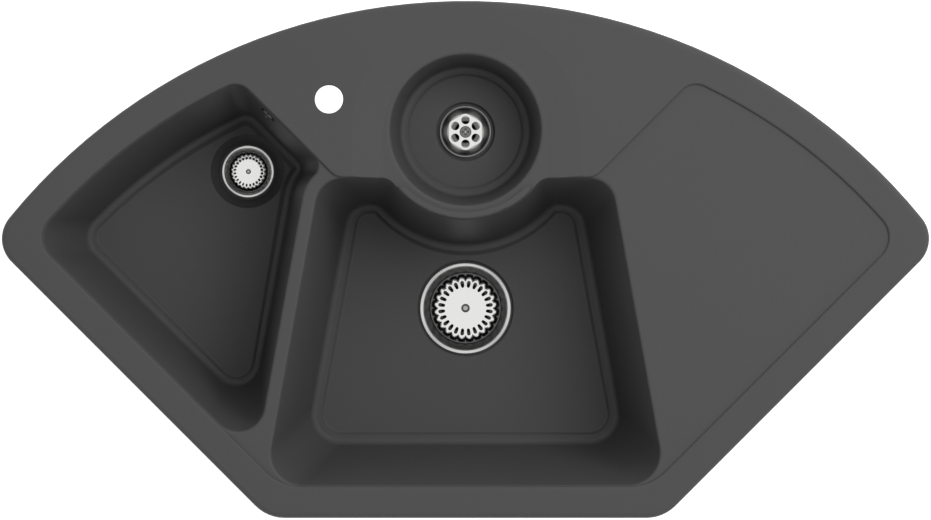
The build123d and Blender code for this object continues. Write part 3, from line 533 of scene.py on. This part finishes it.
# Sieve plate of the round bowl: a flat hexagon of bright stainless steel with a punched hole in
# each corner, screwed down on the flange's shoulder.
sieve_colour = (0.8, 0.8, 0.79)
# Painted shade darkens the plate's sides below its top
sieve_edge_shade = (0.12, 0.12, 0.12)
sieve_roughness = 0.25
bright_edge = 0.0004
shade_edge_depth = 0.0018
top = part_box("round_sieve_plate")[1].z
sieve = turned(
    "sieve_steel",
    middle("round_sieve_plate"),
    "Height",
    top - shade_edge_depth,
    top - bright_edge,
    sieve_edge_shade,
    sieve_colour,
    sieve_roughness,
)
dress(sieve, "round_sieve_plate")

# Seat of the sieve plate: the flange's bottom dips to its opening in a shallow cone, which shows
# grey through the outer part of the plate's holes.
seat_steel = (0.17, 0.17, 0.17)
seat_shade = 0.5
seat_shade_radius = 0.0126
seat_full_radius = 0.0145
seat_roughness = 0.3
seat_sheet = 0.0006
seat_edge_radius = 0.0001
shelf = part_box("round_sieve_plate")[0].z
# Radius, and depth below the plate, in millimetres, from the opening up and back underneath
seat_form = ((12.7, 2.3), (13.6, 2.1), (15.2, 1.7), (17.0, 1.2), (17.7, 1.0), (17.7, 1.3))
seat = round_rod(
    "sieve_seat",
    middle("round_sieve_plate"),
    [(r / 1000, shelf - d / 1000) for r, d in seat_form],
)
thicken(seat, seat_sheet, seat_edge_radius)
# Painted shade darkens the seat towards its opening under the plate
seat_shaded_steel = turned(
    "sieve_seat_steel",
    middle("round_sieve_plate"),
    "Radius",
    seat_shade_radius,
    seat_full_radius,
    tuple(seat_shade * c for c in seat_steel),
    seat_steel,
    seat_roughness,
)
seat.data.materials.append(seat_shaded_steel)
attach(seat, "root")

# Drain screws: pan heads of turned stainless steel with a cross recess. The round bowl's one
# holds the sieve plate, and the other two clamp the flanges under the caps.
screw_steel = (0.19, 0.19, 0.19)
recess_steel = (0.45, 0.45, 0.45)
screw_roughness = 0.35
screw_head = 0.0024
screw_stem = 0.003
recess_depth = 0.0013
recess_bottom = 0.0012
recess_brim = 0.0005
screw_columns = 96
screw_rows = 33
# Shares of the head's radius: half width and length of a recess arm, and its soft side and end
arm_width = 0.11
arm_length = 0.62
arm_side = 0.06
arm_end = 0.3
crown_radius = 0.97
# Shares of the head's height
crown_fall = 0.25
edge_fall = 0.45


def recess_arm(along, over):
    """One bar of the cross: 1 within its width and length, and down to 0 over its soft edges."""
    side = np.clip((arm_width - abs(over)) / arm_side + 0.5, 0, 1)
    end = np.clip((arm_length - abs(along)) / arm_end, 0, 1)
    return side * end


def cross_screw(name, centre, head, stem, top, bottom):
    """A screw as one turned skin. The head falls by its crown's share times (r / head)^4. Its
    recess is the deeper of two crossed bars, and gets shallower towards their ends."""
    share = np.linspace(0, 1, screw_rows)
    angle = np.linspace(0, 2 * pi, screw_columns, endpoint=False)[None]
    x = share[:, None] * np.cos(angle)
    y = share[:, None] * np.sin(angle)
    sunk = np.maximum(recess_arm(x, y), recess_arm(y, x)) * recess_depth
    crown = top - crown_fall * screw_head * share[:, None] ** 4 - sunk
    # Radius and height from the head's edge down the stem to its chamfered tip
    rest = (
        (head, top - edge_fall * screw_head),
        (head, top - screw_head),
        (stem, top - screw_head),
        (stem, bottom + stem * 0.4),
        (stem * 0.6, bottom),
        (0, bottom),
    )
    radius = np.concatenate([share * head * crown_radius, [r for r, _ in rest]])[:, None]
    height = np.concatenate([crown, np.array([z for _, z in rest])[:, None] + 0 * angle])
    return ring_surface(name, centre, radius + 0 * angle, angle + 0 * radius, height)


for drain, node in (
    ("main", "main_clamp_screw"),
    ("left", "left_clamp_screw"),
    ("round", "round_screw"),
):
    low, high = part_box(node)
    head = (high.x - low.x) / 2
    screw = cross_screw(f"{drain}_drain_screw", middle(node), head, screw_stem, high.z, low.z)
    steel = turned(
        f"{drain}_screw_steel",
        middle(node),
        "Height",
        high.z - recess_bottom,
        high.z - recess_brim,
        recess_steel,
        screw_steel,
        screw_roughness,
    )
    screw.data.materials.append(steel)
    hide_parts(node)
    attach(screw, "root")

# Overflow: a cap of satin stainless steel on the left bowl's wall, held by its screw to the
# plastic elbow behind the wall.
# The cap's steel is toned dark as painted shade, and darker still towards its lower side
overflow_shaded_steel = (0.14, 0.14, 0.14)
overflow_shade = 0.5
overflow_roughness = 0.55
low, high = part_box("overflow_cap")
satin = turned(
    "overflow_shaded_steel",
    middle("overflow_cap"),
    "Height",
    low.z,
    high.z,
    tuple(overflow_shade * c for c in overflow_shaded_steel),
    overflow_shaded_steel,
    overflow_roughness,
)
dress(satin, "overflow_cap", "overflow_screw")

# Rubber: black moulded gaskets, tapered seal rings, the two plugs and the rim's sealing strip,
# all soft and matt with a slight bloom.
rubber = grained(
    "black_rubber",
    (0.018, 0.018, 0.018),
    scale=500,
    contrast=0.5,
    roughness=0.68,
    specular=0.3,
    bump=0.25,
)
dress(
    rubber,
    "rim_seal",
    "main_upper_gasket",
    "left_upper_gasket",
    "round_upper_gasket",
    "main_lower_gasket",
    "left_lower_gasket",
    "round_lower_gasket",
    "main_plug",
    "left_plug",
    "main_tail_seal",
    "left_tail_seal",
    "round_tail_seal",
    "left_branch_seal",
    "round_branch_seal",
    "overflow_gasket",
    "overflow_seal",
)

# Plastic plumbing: waste bodies, pipes and manifold moulded in off-white polypropylene with a
# fine texture, and union nuts in dark grey.
pipe = grained(
    "pipe_plastic",
    (0.56, 0.56, 0.54),
    scale=260,
    contrast=0.1,
    roughness=0.42,
    specular=0.4,
    bump=0.12,
)
dress(
    pipe,
    "left_pipe",
    "round_pipe",
    "manifold",
    "overflow_pipe",
    "overflow_elbow",
    "main_waste_body",
    "left_waste_body",
    "round_waste_body",
)
nut = grained(
    "nut_plastic",
    (0.16, 0.16, 0.165),
    scale=320,
    contrast=0.15,
    roughness=0.46,
    specular=0.4,
    bump=0.18,
)
dress(
    nut,
    "main_tail_nut",
    "left_tail_nut",
    "round_tail_nut",
    "left_branch_nut",
    "round_branch_nut",
    "overflow_nut",
)

# Studio: a pale floor under the sink, one broad soft lamp overhead towards the back right, and a
# white surround that gives more light from the sides than from above.
floor_glow = 0.85
floor_colour = (0.8, 0.8, 0.8)
floor_size = 12
floor_gap = 0.001
sink_middle = (0, 0.3, 0)
side_light = 0.7
top_light = 0.3
lamp_place = (1.2, 1.2, 2.5)
lamp_width = 2.0
lamp_depth = 1.8
lamp_power = 64


def seen(tree):
    """1 for what the camera sees directly, in a reflection or through a clear piece, else 0."""
    path = tree.nodes.new("ShaderNodeLightPath")
    camera_ray, glossy_ray = path.outputs["Is Camera Ray"], path.outputs["Is Glossy Ray"]
    direct = arithmetic(tree, "MAXIMUM", camera_ray, glossy_ray)
    return arithmetic(tree, "MAXIMUM", direct, path.outputs["Is Transmission Ray"])


floor_place = (*sink_middle[:2], cad_box[0].z - floor_gap)
bpy.ops.mesh.primitive_plane_add(size=floor_size, location=floor_place)
floor = bpy.context.object
floor.name = "floor"
paint = bpy.data.materials.new("pale_floor")
paint.use_nodes = True
tree = paint.node_tree
tree.nodes.clear()
out = tree.nodes.new("ShaderNodeOutputMaterial")
matt = tree.nodes.new("ShaderNodeBsdfDiffuse")
matt.inputs["Color"].default_value = (*floor_colour, 1)
glow = tree.nodes.new("ShaderNodeEmission")
both = tree.nodes.new("ShaderNodeAddShader")
tree.links.new(arithmetic(tree, "MULTIPLY", seen(tree), floor_glow), glow.inputs["Strength"])
tree.links.new(matt.outputs[0], both.inputs[0])
tree.links.new(glow.outputs[0], both.inputs[1])
tree.links.new(both.outputs[0], out.inputs["Surface"])
floor.data.materials.append(paint)

world = bpy.data.worlds.new("surround")
bpy.context.scene.world = world
world.use_nodes = True
tree = world.node_tree
back = tree.nodes["Background"]
back.inputs["Color"].default_value = (1, 1, 1, 1)
direction = tree.nodes.new("ShaderNodeTexCoord")
split = tree.nodes.new("ShaderNodeSeparateXYZ")
tree.links.new(direction.outputs["Generated"], split.inputs[0])
lit = ranged(tree, split.outputs["Z"], 0, 1, side_light, top_light)
white = seen(tree)
unseen = arithmetic(tree, "SUBTRACT", 1, white)
tree.links.new(arithmetic(tree, "MULTIPLY_ADD", unseen, lit, white), back.inputs["Strength"])

lamp = bpy.data.lights.new("overhead", "AREA")
lamp.shape = "RECTANGLE"
lamp.size = lamp_width
lamp.size_y = lamp_depth
lamp.energy = lamp_power
overhead = bpy.data.objects.new("overhead", lamp)
overhead.location = lamp_place
aim = Vector(sink_middle) - Vector(lamp_place)
overhead.rotation_euler = aim.to_track_quat("-Z", "Y").to_euler()
overhead.visible_glossy = False
bpy.context.collection.objects.link(overhead)

# Camera: straight above the sink with a long lens, so that its rim just fills the picture. The
# shift moves the rim to its place in the picture without tilting the camera.
lens_length = 223.2
sensor_width = 36
picture_shift = 0.0086
camera_place = (0, 0.276, 6.7)
camera_data = bpy.data.cameras.new("photo_camera")
camera_data.lens = lens_length
camera_data.sensor_width = sensor_width
camera_data.shift_y = picture_shift
camera = bpy.data.objects.new("photo_camera", camera_data)
camera.location = camera_place
bpy.context.collection.objects.link(camera)
bpy.context.scene.camera = camera
bpy.context.scene.view_settings.view_transform = "Standard"
